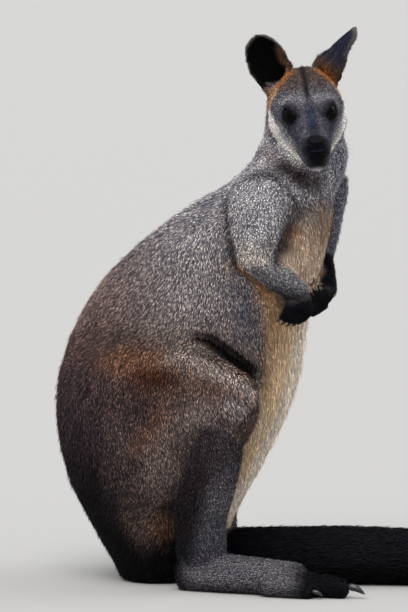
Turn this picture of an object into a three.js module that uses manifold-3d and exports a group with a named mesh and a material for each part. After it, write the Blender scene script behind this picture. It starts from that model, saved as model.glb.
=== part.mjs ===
// A swamp wallaby sitting upright on its haunches and tail root, as a life-size still model.
// Millimetres, +Z up. The body faces -Y and its right side is -X. The chest is turned to the animal's
// right and the head further still, and the tail is swung forward between the feet. Forms are placed
// about the pelvis, and the whole is then moved so that the origin is on the floor under its middle.
import * as THREE from "three";
import { mergeVertices } from "three/addons/utils/BufferGeometryUtils.js";
import Module from "manifold-3d";

const wasm = await Module();
wasm.setup();

// Driving dimensions.
const GAP = 0.35; // clearance kept between neighbouring solids
const CHEST_TURN = -28; // degrees about +Z, from the pelvis to the neck and arms
const HEAD_TURN = -64; // degrees about +Z, from the pelvis to the head
const HEAD_PITCH = 24; // degrees, nose down
const HEAD_ROLL = -6; // degrees, crown towards the animal's right
const HEAD_AT = new THREE.Vector3(-38, -141.5, 530); // between the eyes: the head is drawn about it
const EYE_RADIUS = 11;
const CHEST_AT = new THREE.Vector3(0, -106, 0); // axis that the two arms are placed about
const LEG_SPREAD = 82; // each ankle, from the middle plane
const LEFT_LEG_BACK = 48; // how far the left leg is set behind the right
const TOE_TIP = -210; // y of the end of the right fourth toe, without its claw

const RIGHT = -1;
const LEFT = 1;
const X = new THREE.Vector3(1, 0, 0);
const Z = new THREE.Vector3(0, 0, 1);

const at = (x, y, z) => new THREE.Vector3(x, y, z);

// ---------------------------------------------------------------- shapes

// A closed form carried along a smooth spine. Each station has the spine point, the half width to
// either side, the reach over and under the spine, and a turn in degrees about it. The ends are
// rounded. A level form keeps its sections horizontal.
function loft(stations, options) {
  const { around, along, side = X, level = false, cap = 0.14, round = 0.8 } = options;
  const spine = new THREE.CatmullRomCurve3(stations.map((s) => s.at));
  const girth = new THREE.CatmullRomCurve3(stations.map((s) => at(s.wide, s.over, s.under)));
  const turns = new THREE.CatmullRomCurve3(stations.map((s) => at(s.turn ?? 0, 0, 0)));
  const ball = new THREE.SphereGeometry(1, around, along);
  const { position } = ball.attributes;
  for (let i = 0; i < position.count; i++) {
    const p = at(...position.array.slice(3 * i, 3 * i + 3));
    const share = Math.acos(THREE.MathUtils.clamp(p.y, -1, 1)) / Math.PI;
    const nearEnd = Math.min(share, 1 - share);
    const bulge = Math.min(1, nearEnd / cap) * (Math.PI / 2);
    const t = THREE.MathUtils.clamp((share - cap) / (1 - 2 * cap), 0, 1);
    const size = girth.getPoint(t);
    const ahead = level ? Z.clone() : spine.getTangent(t);
    const across = side.clone().addScaledVector(ahead, -side.dot(ahead)).normalize();
    across.applyAxisAngle(ahead, THREE.MathUtils.degToRad(turns.getPoint(t).x));
    const up = ahead.clone().cross(across);
    const ring = Math.hypot(p.x, p.z) || 1;
    const sideways = (p.x / ring) * size.x * Math.sin(bulge);
    const upwards = (p.z / ring) * Math.sin(bulge) * (p.z > 0 ? size.y : size.z);
    const beyond = Math.sign(share - 0.5) * round * Math.min(size.x, size.y) * Math.cos(bulge);
    const place = spine.getPoint(t).addScaledVector(across, sideways).addScaledVector(up, upwards);
    place.addScaledVector(ahead, beyond);
    position.setXYZ(i, ...place);
  }
  return ball;
}

// A thin cupped leaf from base to tip, open towards facing. Base and tip are on its back. Its section
// is an arc that is nearly closed at the base and opens out upwards. Root is its width at the base, as
// a share of the full width.
function cup({ base, tip, facing, halfWidth, root, thickness, around = 18, along = 12 }) {
  const axis = tip.clone().sub(base);
  const open = facing.clone().addScaledVector(axis, -facing.dot(axis) / axis.lengthSq()).normalize();
  const across = axis.clone().normalize().cross(open);
  const leaf = new THREE.SphereGeometry(1, around, along);
  const { position, uv } = leaf.attributes;
  for (let i = 0; i < position.count; i++) {
    const v = 1 - uv.getY(i);
    const u = 2 * Math.PI * uv.getX(i);
    const onPole = v < 1e-6 || v > 1 - 1e-6;
    const taper = Math.sqrt(1 - Math.pow(Math.max(0, v - 0.4) / 0.6, 2.4));
    const width = halfWidth * THREE.MathUtils.lerp(root, 1, Math.min(1, 2 * v)) * taper;
    const curl = THREE.MathUtils.lerp(2.4, 1.0, Math.min(1, v * 1.4));
    const arc = -curl * Math.cos(u);
    const bend = width / Math.sin(Math.min(curl, Math.PI / 2));
    const radius = bend + 0.5 * thickness * Math.sin(u);
    const place = base.clone().addScaledVector(axis, v);
    if (!onPole) {
      place.addScaledVector(across, radius * Math.sin(arc));
      place.addScaledVector(open, bend - radius * Math.cos(arc) - 0.2 * halfWidth * Math.sin(Math.PI * v));
    }
    position.setXYZ(i, ...place);
  }
  return leaf;
}

function slab(low, high) {
  const size = high.clone().sub(low);
  return new THREE.BoxGeometry(size.x, size.y, size.z).translate(...low.clone().addScaledVector(size, 0.5));
}

// ---------------------------------------------------------------- solids

function solidOf(geometry) {
  const bare = geometry.clone();
  bare.deleteAttribute("normal");
  bare.deleteAttribute("uv");
  const merged = mergeVertices(bare, 1e-4);
  const made = new wasm.Manifold(
    new wasm.Mesh({
      numProp: 3,
      vertProperties: merged.attributes.position.array,
      triVerts: new Uint32Array(merged.index.array),
    }),
  );
  if (made.volume() < 0) throw new Error("a form is inside out ");
  return made;
}

function geometryOf(solid) {
  const mesh = solid.getMesh();
  const points = new Float32Array(mesh.numVert * 3);
  for (let i = 0; i < mesh.numVert; i++) {
    points.set(mesh.vertProperties.subarray(i * mesh.numProp, i * mesh.numProp + 3), i * 3);
  }
  const geometry = new THREE.BufferGeometry();
  geometry.setAttribute("position", new THREE.BufferAttribute(points, 3));
  geometry.setIndex(new THREE.BufferAttribute(mesh.triVerts, 1));
  geometry.computeVertexNormals();
  return geometry;
}

// The same solid with its surface moved out by the clearance.
function grown(solid) {
  const geometry = geometryOf(solid);
  const { position, normal } = geometry.attributes;
  for (let i = 0; i < position.array.length; i++) position.array[i] += GAP * normal.array[i];
  return solidOf(geometry);
}

const joined = (...geometries) => geometries.map(solidOf).reduce((a, b) => a.add(b));

// The largest of the bodies that a cut leaves.
function largest(solid) {
  const bodies = solid.decompose();
  return bodies.reduce((a, b) => (b.volume() > a.volume() ? b : a));
}

const FLOOR = solidOf(slab(at(-900, -900, 0), at(900, 900, 900)));

// ---------------------------------------------------------------- trunk and neck

const NECK_FROM = 446; // height of the cut between the trunk and the neck

// Level sections up the body, from the flat under the rump to the base of the skull. Over is the
// reach to the back, and under to the belly.
function torso() {
  const section = (x, y, z, wide, over, under, turn) => ({ at: at(x, y, z), wide, over, under, turn });
  return loft(
    [
      section(0, 52, -4, 52, 36, 56, 0),
      section(0, 48, 45, 76, 68, 72, 0),
      section(0, 44, 105, 97, 108, 97, 0),
      section(0, 34, 170, 106, 136, 125, 0),
      section(0, 20, 235, 106, 148, 136, 0),
      section(0, 2, 295, 95, 147, 128, -6),
      section(-8, -22, 350, 81, 130, 122, -6),
      section(-18, -50, 398, 75, 99, 112, -8),
      section(-6, -84, 438, 61, 80, 80, -20),
      section(1, -115, 472, 58, 50, 60, CHEST_TURN - 14),
      section(4, -121, 508, 45, 37, 48, CHEST_TURN - 30),
      section(1, -123, 538, 44, 32, 40, CHEST_TURN - 40),
      section(-1, -124, 560, 42, 26, 36, CHEST_TURN - 40),
    ],
    { around: 20, along: 20, level: true, cap: 0.05, round: 0.3 },
  );
}

// ---------------------------------------------------------------- hind legs and feet

// A place on one leg. The share of the set-back grows from nothing at the hip to all below the knee.
const setBack = { [RIGHT]: 0, [LEFT]: LEFT_LEG_BACK };
const legAt = (side, x, y, z, share = 1) => at(side * x, y + share * setBack[side], z);

function thigh(side) {
  return loft(
    [
      { at: legAt(side, 60, 92, 150, 0.1), wide: 42, over: 74, under: 80 },
      { at: legAt(side, 77, 48, 178, 0.4), wide: 50, over: 100, under: 96 },
      { at: legAt(side, 88, -16, 196, 0.8), wide: 43, over: 86, under: 74 },
      { at: legAt(side, 94, -58, 198), wide: 35, over: 62, under: 52 },
      { at: legAt(side, 97, -74, 190), wide: 30, over: 46, under: 38 },
    ],
    { around: 16, along: 13 },
  );
}

function shank(side) {
  return loft(
    [
      { at: legAt(side, 97, -55, 185), wide: 29, over: 34, under: 40 },
      { at: legAt(side, 92, -43, 130), wide: 26, over: 34, under: 34 },
      { at: legAt(side, 87, -31, 82), wide: 23, over: 31, under: 29 },
      { at: legAt(side, LEG_SPREAD + 1, -29, 40), wide: 22, over: 33, under: 28 },
    ],
    { around: 14, along: 10 },
  );
}

// Toes as offset to the outside, first y, length and half thickness. The fourth is the large one,
// the fifth lies outside it, and the second and third are a small joined pair inside it.
const TOES = {
  fourth: { out: 2, short: 0, thick: 14 },
  fifth: { out: 20, short: 38, thick: 9 },
  third: { out: -14, short: 44, thick: 5.5 },
  second: { out: -22, short: 47, thick: 5.5 },
};
const TOE_ROOTS = -112;

function foot(side) {
  const sole = loft(
    [
      { at: legAt(side, LEG_SPREAD, -8, 20), wide: 16, over: 22, under: 21.5 },
      { at: legAt(side, LEG_SPREAD, -40, 20), wide: 20, over: 24, under: 21.5 },
      { at: legAt(side, LEG_SPREAD, -90, 20), wide: 22, over: 21, under: 21.5 },
      { at: legAt(side, LEG_SPREAD + 2, -145, 18), wide: 22, over: 19, under: 19.5 },
    ],
    { around: 12, along: 8, round: 0.7 },
  );
  const toes = Object.values(TOES).map(({ out, short, thick }) => {
    const x = LEG_SPREAD + out;
    const tip = TOE_TIP + short;
    const half = (TOE_ROOTS + tip) / 2;
    const end = thick * 0.8;
    return loft(
      [
        { at: legAt(side, x, TOE_ROOTS, thick + 2), wide: thick, over: thick + 2, under: thick + 3 },
        { at: legAt(side, x, half, thick + 0.5), wide: thick, over: thick, under: thick + 1.5 },
        { at: legAt(side, x, tip + thick, end), wide: end, over: end, under: thick },
      ],
      { around: 8, along: 5, cap: 0.25, round: 1 },
    );
  });
  return joined(sole, ...toes);
}

// A curved horn claw: a cone bent downwards, with its root inside the toe or finger.
function claw(root, ahead, down, length, thick) {
  const middle = root.clone().addScaledVector(ahead, length * 0.55);
  const end = root.clone().addScaledVector(ahead, length).addScaledVector(down, length * 0.28);
  return loft(
    [
      { at: root, wide: thick, over: thick, under: thick },
      { at: middle, wide: thick * 0.8, over: thick * 0.85, under: thick * 0.85 },
      { at: end, wide: thick * 0.2, over: thick * 0.2, under: thick * 0.2 },
    ],
    { around: 5, along: 4, cap: 0.2, side: ahead.clone().cross(down).normalize(), round: 0.8 },
  );
}

function toeClaw(side, { out, short, thick }) {
  const root = legAt(side, LEG_SPREAD + out, TOE_TIP + short + thick * 0.45, thick * 0.95);
  return claw(root, at(0, -1, -0.12).normalize(), at(0, 0, -1), thick * 1.4, thick * 0.4);
}

// ---------------------------------------------------------------- tail

const TAIL_CUTS = [-110, -370]; // y of the two cuts between its three lengths

function tail() {
  const ring = (x, y, z, half) => ({ at: at(x, y, z), wide: half, over: half, under: half + 0.5 });
  return loft(
    [
      ring(0, 88, 66, 30),
      ring(0, 78, 40, 32),
      ring(0, 45, 31, 33),
      ring(0, -15, 30, 31.5),
      ring(10, -85, 31, 32.5),
      ring(30, -160, 32, 33.5),
      ring(49, -235, 31, 32.5),
      ring(63, -320, 28, 29.5),
      ring(66, -400, 24, 25.5),
      ring(57, -475, 19, 20),
      ring(40, -540, 14, 15),
      ring(26, -580, 9, 9.5),
    ],
    { around: 14, along: 26, cap: 0.06, round: 1 },
  );
}

// ---------------------------------------------------------------- arms and hands

const chestTurn = THREE.MathUtils.degToRad(CHEST_TURN);
const CHEST_AHEAD = at(0, -1, 0).applyAxisAngle(Z, chestTurn);
const CHEST_LEFT = X.clone().applyAxisAngle(Z, chestTurn);

// A direction or a point from how far it is out to the side, ahead of the chest, and up.
const chestVector = (side, out, ahead, up) =>
  at(0, 0, up).addScaledVector(CHEST_LEFT, side * out).addScaledVector(CHEST_AHEAD, ahead);
const chestPoint = (side, out, ahead, up) => chestVector(side, out, ahead, up).add(CHEST_AT);

// Joints of each arm: out to the side, ahead of the chest axis, and height.
const ARMS = {
  [RIGHT]: { shoulder: [58, 18, 450], middle: [74, 22, 410], elbow: [78, 28, 370], wrist: [32, 54, 332] },
  [LEFT]: { shoulder: [60, -1, 454], middle: [60, -18, 412], elbow: [66, -24, 366], wrist: [14, 46, 333] },
};
const joint = (side, name) => chestPoint(side, ...ARMS[side][name]);

function upperArm(side) {
  const bulk = side === RIGHT ? 1 : 0.8;
  return loft(
    [
      { at: joint(side, "shoulder"), wide: 24, over: 36 * bulk, under: 40 * bulk },
      { at: joint(side, "middle"), wide: 26, over: 40 * bulk, under: 42 * bulk },
      { at: joint(side, "elbow"), wide: 20, over: 25 * bulk, under: 27 * bulk },
    ],
    { around: 14, along: 10, side: CHEST_LEFT },
  );
}

function forearm(side) {
  const elbow = joint(side, "elbow");
  const wrist = joint(side, "wrist");
  return loft(
    [
      { at: elbow, wide: 17, over: 18, under: 18 },
      { at: elbow.clone().lerp(wrist, 0.5), wide: 15, over: 16, under: 16 },
      { at: wrist, wide: 12, over: 13, under: 13 },
    ],
    { around: 12, along: 8, side: CHEST_LEFT },
  );
}

// How each hand hangs: the way its palm runs on from the wrist, the way its fingers do, and the way
// across the knuckles. The right hand hangs down, and the left one points inwards behind it.
const HANDS = {
  [RIGHT]: {
    palm: chestVector(RIGHT, 0.1, -0.1, -0.9),
    fingers: chestVector(RIGHT, 0.4, -0.4, -0.7),
    across: chestVector(RIGHT, -0.8, 0.3, 0),
  },
  [LEFT]: {
    palm: chestVector(LEFT, -0.78, -0.1, -0.4),
    fingers: chestVector(LEFT, -0.82, -0.1, -0.36),
    across: chestVector(LEFT, 0.6, 0.1, -0.7),
  },
};
const PALM_LENGTH = 20;
const FINGERS = [-2, -1, 0, 1, 2]; // places across the knuckles
const FINGER = { length: 14, thick: 4.6, spacing: 6.6 };

function hand(side) {
  const { palm, fingers, across } = HANDS[side];
  const down = palm.clone().normalize();
  const curl = fingers.clone().normalize();
  const knuckles = joint(side, "wrist").addScaledVector(down, PALM_LENGTH);
  const width = across.clone().addScaledVector(down, -across.dot(down)).normalize();
  const back = curl.clone().cross(width).normalize();
  const roots = FINGERS.map((n) =>
    knuckles.clone().addScaledVector(width, n * FINGER.spacing).addScaledVector(down, -0.8 * n * n),
  );
  return { down, curl, width, back, knuckles, roots };
}

function paw(side) {
  const { down, curl, width, knuckles, roots } = hand(side);
  const wrist = joint(side, "wrist").addScaledVector(down, 4);
  const palm = loft(
    [
      { at: wrist, wide: 11, over: 11, under: 11 },
      { at: wrist.clone().lerp(knuckles, 0.5), wide: 15, over: 10, under: 10 },
      { at: knuckles.clone().addScaledVector(down, -4), wide: 16, over: 8, under: 8 },
    ],
    { around: 8, along: 6, cap: 0.18, side: width },
  );
  const { length, thick } = FINGER;
  const tip = thick * 0.8;
  const digits = roots.map((root) =>
    loft(
      [
        { at: root.clone().addScaledVector(down, -8), wide: thick, over: thick, under: thick },
        { at: root.clone().addScaledVector(curl, length * 0.35), wide: thick, over: thick, under: thick },
        { at: root.clone().addScaledVector(curl, length), wide: tip, over: tip, under: tip },
      ],
      { around: 5, along: 4, cap: 0.28, side: width },
    ),
  );
  return joined(palm, ...digits);
}

function fingerClaw(side, n) {
  const { curl, down, roots } = hand(side);
  const root = roots[n].clone().addScaledVector(curl, FINGER.length);
  const bend = curl.clone().multiplyScalar(2).sub(down).normalize();
  return claw(root, curl, bend.sub(curl.clone().multiplyScalar(bend.dot(curl))).normalize(), 7, 2);
}

// ---------------------------------------------------------------- head

// The head is drawn facing -Y about a point between the eyes, with its left at +X, and then posed.
const HEAD_POSE = new THREE.Matrix4()
  .makeTranslation(HEAD_AT)
  .multiply(new THREE.Matrix4().makeRotationZ(THREE.MathUtils.degToRad(HEAD_TURN)))
  .multiply(new THREE.Matrix4().makeRotationX(THREE.MathUtils.degToRad(HEAD_PITCH)))
  .multiply(new THREE.Matrix4().makeRotationY(THREE.MathUtils.degToRad(HEAD_ROLL)));
const onHead = (x, ahead, up) => at(x, -ahead, up).applyMatrix4(HEAD_POSE);
const headWay = (x, ahead, up) => at(x, -ahead, up).transformDirection(HEAD_POSE);

// Sections from the nape to the lips, about a line below the eyes. Over is up to the crown and the
// bridge of the nose, and under is down to the jaw.
function skull() {
  const line = -18;
  const section = (ahead, wide, over, under) => ({ at: at(0, -ahead, line), wide, over, under });
  const form = loft(
    [
      section(-56, 31, 48, 22),
      section(-38, 40, 58, 28),
      section(-14, 43, 54, 29),
      section(8, 35, 45, 27),
      section(24, 24, 34, 25),
      section(45, 18.5, 25, 24),
      section(61, 15, 20, 20.5),
    ],
    { around: 16, along: 14, cap: 0.1, round: 0.5 },
  );
  return form.applyMatrix4(HEAD_POSE);
}

function nosePad() {
  const form = loft(
    [
      { at: at(0, -59, 0), wide: 9, over: 6, under: 9 },
      { at: at(0, -68, -2), wide: 12, over: 8, under: 9 },
      { at: at(0, -72, -3), wide: 10.5, over: 6.5, under: 7.5 },
    ],
    { around: 10, along: 5, cap: 0.22, round: 0.4 },
  );
  return form.applyMatrix4(HEAD_POSE);
}

const EYE = { out: 20, ahead: 11.5, up: 9 };

const eyeball = (side) =>
  new THREE.SphereGeometry(EYE_RADIUS, 10, 7).translate(...onHead(side * EYE.out, EYE.ahead, EYE.up));

// The right ear is turned to the front, and the left one to the side and back.
const EARS = {
  [RIGHT]: {
    base: onHead(-22, -62, 13),
    tip: onHead(-50, -70, 71),
    facing: headWay(-0.25, 0.9, 0.3),
    root: 0.66,
  },
  [LEFT]: {
    base: onHead(10.5, -60, 16),
    tip: onHead(66, -72, 68),
    facing: headWay(0.94, 0.1, -0.35),
    root: 0.85,
  },
};

const ear = (side) => cup({ ...EARS[side], halfWidth: 23, thickness: 3.4 });

// ---------------------------------------------------------------- assembly

const COLOURS = {
  coat: { color: 0x5e5248, roughness: 0.9, metalness: 0 },
  grey: { color: 0x77726c, roughness: 0.9, metalness: 0 },
  black: { color: 0x1c1a1d, roughness: 0.85, metalness: 0 },
  eye: { color: 0x120b08, roughness: 0.08, metalness: 0 },
  horn: { color: 0x17151a, roughness: 0.4, metalness: 0 },
};

const animal = new THREE.Group();
const placed = []; // solids already in place, that each new one is cut clear of

// Adds one node. A band, if given, is the slab of space that the node keeps to.
function place(name, finish, shape, band) {
  const form = shape instanceof wasm.Manifold ? shape : solidOf(shape);
  const whole = band ? form.intersect(FLOOR).intersect(band(-GAP / 2)) : form.intersect(FLOOR);
  const clearance = band ? grown(form).intersect(band(GAP / 2)) : grown(form);
  const box = whole.boundingBox();
  const touching = placed.filter(({ box: other }) =>
    [0, 1, 2].every((k) => box.min[k] < other.max[k] + GAP && other.min[k] < box.max[k] + GAP),
  );
  const cut = largest(touching.reduce((solid, { grown: other }) => solid.subtract(other), whole));
  const mesh = new THREE.Mesh(geometryOf(cut), new THREE.MeshStandardMaterial(COLOURS[finish]));
  mesh.name = name;
  animal.add(mesh);
  placed.push({ grown: clearance, box: whole.boundingBox() });
}

const SIDES = { right: RIGHT, left: LEFT };

for (const [name, side] of Object.entries(SIDES)) {
  place(`eye_${name}`, "eye", eyeball(side));
  for (const toe of Object.keys(TOES)) place(`claw_${toe}_toe_${name}`, "horn", toeClaw(side, TOES[toe]));
  FINGERS.forEach((_, n) => place(`claw_finger_${n + 1}_${name}`, "horn", fingerClaw(side, n)));
}
place("nose", "black", nosePad());
place("head", "grey", skull());
for (const [name, side] of Object.entries(SIDES)) {
  place(`foot_${name}`, "black", foot(side));
  place(`hand_${name}`, "black", paw(side));
}

const lengthOf = (low, high) => (more) =>
  solidOf(slab(at(-400, low - more, -50), at(400, high + more, 400)));
place("tail_base", "black", tail(), lengthOf(TAIL_CUTS[0], 400));
place("tail_middle", "black", tail(), lengthOf(TAIL_CUTS[1], TAIL_CUTS[0]));
place("tail_tip", "black", tail(), lengthOf(-900, TAIL_CUTS[1]));

const storeyOf = (low, high) => (more) =>
  solidOf(slab(at(-900, -900, low - more), at(900, 900, high + more)));
place("trunk", "coat", torso(), storeyOf(-50, NECK_FROM));
place("neck", "grey", torso(), storeyOf(NECK_FROM, 900));

for (const [name, side] of Object.entries(SIDES)) {
  place(`ear_${name}`, "black", ear(side));
  place(`shank_${name}`, "coat", shank(side));
  place(`thigh_${name}`, "coat", thigh(side));
  place(`forearm_${name}`, "grey", forearm(side));
  place(`upper_arm_${name}`, "grey", upperArm(side));
}

// The origin is on the floor under the middle of the whole body.
const bounds = new THREE.Box3().setFromObject(animal);
const middle = bounds.getCenter(at(0, 0, 0));
for (const { geometry } of animal.children) geometry.translate(-middle.x, -middle.y, -bounds.min.z);

export default animal;
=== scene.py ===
"""A swamp wallaby, life size, sitting upright on its haunches with its head turned. One hide covers the
whole body under a coat of mesh hair tufts, with eyes, nose, claws and whiskers of their own."""

import math

import bmesh
import bpy
import numpy as np
from mathutils import Matrix, Vector, noise
from mathutils.bvhtree import BVHTree


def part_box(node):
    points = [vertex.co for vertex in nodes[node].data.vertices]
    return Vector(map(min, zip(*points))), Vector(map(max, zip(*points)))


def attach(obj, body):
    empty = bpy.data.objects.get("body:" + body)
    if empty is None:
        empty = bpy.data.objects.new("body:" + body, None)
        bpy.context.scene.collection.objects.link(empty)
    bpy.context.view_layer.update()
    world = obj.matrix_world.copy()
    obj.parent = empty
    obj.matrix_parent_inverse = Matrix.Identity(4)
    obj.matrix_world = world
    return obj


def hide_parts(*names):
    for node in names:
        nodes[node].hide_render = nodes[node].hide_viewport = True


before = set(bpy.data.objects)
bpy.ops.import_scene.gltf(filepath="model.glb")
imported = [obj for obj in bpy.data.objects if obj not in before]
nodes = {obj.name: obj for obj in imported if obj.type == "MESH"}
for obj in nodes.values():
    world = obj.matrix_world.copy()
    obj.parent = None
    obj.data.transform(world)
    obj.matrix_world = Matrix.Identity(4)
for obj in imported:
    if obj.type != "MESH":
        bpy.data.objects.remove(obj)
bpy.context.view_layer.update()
scene = bpy.context.scene
MM = 0.001

# ---------------------------------------------------------------- the head's own axes
# The head is turned to the animal's right and tipped down. Its marks and folds are placed in its
# own axes: side to its left, ahead towards the nose, and up, from a point just below the eyes.
NOSE_DROP = math.radians(11.5)  # the nose pad lies this far below straight ahead of the eyes
EYE_RISE = 5 * MM  # the eyes are this far above the point that the axes start from


def middle(name):
    low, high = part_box(name)
    return (low + high) / 2


eyes_at = (middle("eye_left") + middle("eye_right")) / 2
head_side = (middle("eye_left") - middle("eye_right")).normalized()
to_nose = middle("nose") - eyes_at
to_nose = (to_nose - head_side * to_nose.dot(head_side)).normalized()
head_ahead = Matrix.Rotation(-NOSE_DROP, 3, head_side) @ to_nose
head_up = head_ahead.cross(head_side)
head_axes = np.array([head_side, head_ahead, head_up])
head_at = eyes_at - head_up * EYE_RISE


def on_head(side, ahead, up):
    """The place of a point given in millimetres in the head's axes."""
    return head_at + (head_side * side + head_ahead * ahead + head_up * up) * MM


# ---------------------------------------------------------------- the hide
# The hide is one skin from the nose to the tips of the toes and tail. The solids of flesh are welded
# into one form, their facets are smoothed away, and it is drawn in by the depth of the fur on it.
FLESH = sorted(n for n in nodes if not n.startswith(("eye_", "claw_", "nose")))
FILLED = ("eye_right", "eye_left", "nose")  # the hide runs on over these, and is then opened for them
SIDES = ("right", "left")
WELD = 0.6 * MM  # each solid grows by this, to close the gap to its neighbours
VOXEL = 2 * MM
BODY_SHARE = 0.3  # of the faces are kept, and it is the plain parts of the body that lose theirs
FINE = ("head", "ear", "hand")  # parts that keep all their faces

# For each part: the depth of the fur, the rounds of smoothing, and then the length and width of its
# hairs in millimetres, and how many there are beside those on the trunk.
PELT = {
    "trunk": (7.0, 60, 15, 0.55, 1.0),
    "thigh": (7.0, 60, 16, 0.55, 1.0),
    "neck": (6.0, 40, 9.5, 0.55, 1.3),
    "upper_arm": (5.5, 40, 8.5, 0.52, 1.4),
    "forearm": (4.0, 20, 7.5, 0.52, 1.7),
    "hand": (1.6, 3, 5.0, 0.55, 2.4),
    "shank": (5.0, 30, 8.5, 0.6, 1.3),
    "foot": (3.4, 70, 6.5, 0.6, 1.8),
    "tail_base": (5.0, 40, 13, 0.75, 0.9),
    "tail_middle": (5.0, 40, 13, 0.75, 0.9),
    "tail_tip": (4.5, 40, 12, 0.75, 0.9),
    "head": (2.4, 14, 6.0, 0.75, 2.8),
    "ear": (0.5, 12, 3.2, 0.5, 2.6),
}
DEPTH, ROUNDS, LENGTH, WIDTH, CROWD = range(5)


def part_of(name):
    return name.removesuffix("_right").removesuffix("_left")


def unit(vectors):
    return vectors / np.maximum(np.linalg.norm(vectors, axis=-1, keepdims=True), 1e-9)


def smooth(low, high, value):
    t = np.clip((value - low) / (high - low), 0, 1)
    return t * t * (3 - 2 * t)


def hump(distance, width):
    return np.exp(-((distance / width) ** 2))


def points_of(mesh):
    points = np.empty(3 * len(mesh.vertices), np.float32)
    mesh.vertices.foreach_get("co", points)
    return points.reshape(-1, 3).astype(float)


def normals_of(mesh):
    normals = np.empty(3 * len(mesh.vertices), np.float32)
    mesh.vertex_normals.foreach_get("vector", normals)
    return normals.reshape(-1, 3).astype(float)


def set_points(mesh, points):
    mesh.vertices.foreach_set("co", points.astype(np.float32).ravel())
    mesh.update()


class Web:
    """The edges of a mesh, along which values spread from vertex to vertex."""

    def __init__(self, mesh):
        ends = np.empty(2 * len(mesh.edges), np.int32)
        mesh.edges.foreach_get("vertices", ends)
        self.a, self.b = ends.reshape(-1, 2).T
        self.count = len(mesh.vertices)
        self.weight = np.ones(len(self.a))

    def gather(self, values):
        passed = np.bincount(self.a, values[self.b] * self.weight, self.count)
        return passed + np.bincount(self.b, values[self.a] * self.weight, self.count)

    def mean(self, values):
        flat = values.reshape(self.count, -1)
        total = np.maximum(self.gather(np.ones(self.count)), 1e-9)
        return np.stack([self.gather(column) / total for column in flat.T], 1).reshape(values.shape)

    def spread(self, values, rounds, share=0.5):
        for _ in range(rounds):
            values = values + share * (self.mean(values) - values)
        return values


def add_object(name, mesh):
    piece = bpy.data.objects.new(name, mesh)
    scene.collection.objects.link(piece)
    return piece


def apply_modifiers(piece):
    shown = piece.evaluated_get(bpy.context.evaluated_depsgraph_get())
    made = bpy.data.meshes.new_from_object(shown)
    old = piece.data
    piece.modifiers.clear()
    piece.data = made
    bpy.data.meshes.remove(old)


def mesh_of(form, name):
    """A mesh made from an edited form, which is then freed."""
    mesh = bpy.data.meshes.new(name)
    form.to_mesh(mesh)
    form.free()
    return mesh


def merged_copy(name):
    """The form of a CAD node with its loose triangles joined up."""
    form = bmesh.new()
    form.from_mesh(nodes[name].data)
    bmesh.ops.remove_doubles(form, verts=form.verts, dist=0.01 * MM)
    form.normal_update()
    return form


def weld_flesh():
    whole = bmesh.new()
    for name in (*FLESH, *FILLED):
        part = merged_copy(name)
        for vertex in part.verts:
            vertex.co += vertex.normal * WELD
        mesh = mesh_of(part, name)
        whole.from_mesh(mesh)
        bpy.data.meshes.remove(mesh)
    piece = add_object("hide", mesh_of(whole, "hide"))
    weld = piece.modifiers.new("weld", "REMESH")
    weld.mode = "VOXEL"
    weld.voxel_size = VOXEL
    apply_modifiers(piece)
    return piece


def surface_of(names):
    """The surfaces of some CAD nodes as one tree to search, and the node that owns each face."""
    corners, faces, owners = [], [], []
    for name in names:
        start = len(corners)
        corners += [v.co.copy() for v in nodes[name].data.vertices]
        faces += [[start + i for i in face.vertices] for face in nodes[name].data.polygons]
        owners += [name] * len(nodes[name].data.polygons)
    return BVHTree.FromPolygons(corners, faces), owners


flesh_tree, flesh_owners = surface_of(FLESH)


def names_on(mesh):
    """The solid of flesh that each vertex of the hide belongs to."""
    return np.array([flesh_owners[flesh_tree.find_nearest(v.co)[2]] for v in mesh.vertices])


def line_distance(points, corners):
    """How far each point is from a line through a few corners."""
    corners = np.asarray(corners, float)
    best = np.full(len(points), 1e9)
    for start, end in zip(corners[:-1], corners[1:]):
        run = end - start
        t = np.clip(((points - start) @ run) / (run @ run), 0, 1)
        best = np.minimum(best, np.linalg.norm(points - start - t[:, None] * run, axis=1))
    return best


# The fold where the flank meets the thigh, given for the right side in millimetres. It is deepest in
# front. The right side also has creases behind the upper arm and in front of it, each with its line,
# depth and width.
FOLD = [
    (-95, 184, 286), (-91, 167, 282), (-87, 155, 274), (-81, 143, 264), (-72, 131, 253), (-62, 119, 241)
]
FOLD_DEPTH = 9 * MM
FOLD_WIDTH = 6 * MM
FOLD_FADES = (160, 192)  # from front to back it closes over these places along y
FOLD_CLOSED = 4.9  # and is then as shallow as it would be this far from its line
FOLD_KEPT = 16 * MM  # the faces this near to the fold are all kept
BEHIND_ARM = [
    (-59, 159, 436), (-78, 152, 420), (-91, 142, 394), (-93, 143, 385), (-89, 140, 369), (-85, 132, 360)
]
BEFORE_ARM = [(-60, 79, 456), (-58, 68, 430), (-71, 75, 413), (-75, 85, 394)]
CREASES = [(BEHIND_ARM, 3.5, 6), (BEFORE_ARM, 3, 6)]


def fold_distance(points):
    """How far each point is from the fold on its own side of the body."""
    half = points / MM
    half[:, 0] = -np.abs(half[:, 0])
    return (line_distance(half, FOLD) + FOLD_CLOSED * smooth(*FOLD_FADES, half[:, 1])) * MM


hide = weld_flesh()
names = names_on(hide.data)
plain = np.array([not name.startswith(FINE) for name in names])
plain &= fold_distance(points_of(hide.data)) > FOLD_KEPT
coarse = hide.vertex_groups.new(name="plain")
coarse.add(np.nonzero(plain)[0].tolist(), 1.0, "REPLACE")
thin = hide.modifiers.new("thin", "DECIMATE")
thin.ratio = BODY_SHARE
thin.vertex_group = coarse.name
apply_modifiers(hide)
hide.vertex_groups.clear()


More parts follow.
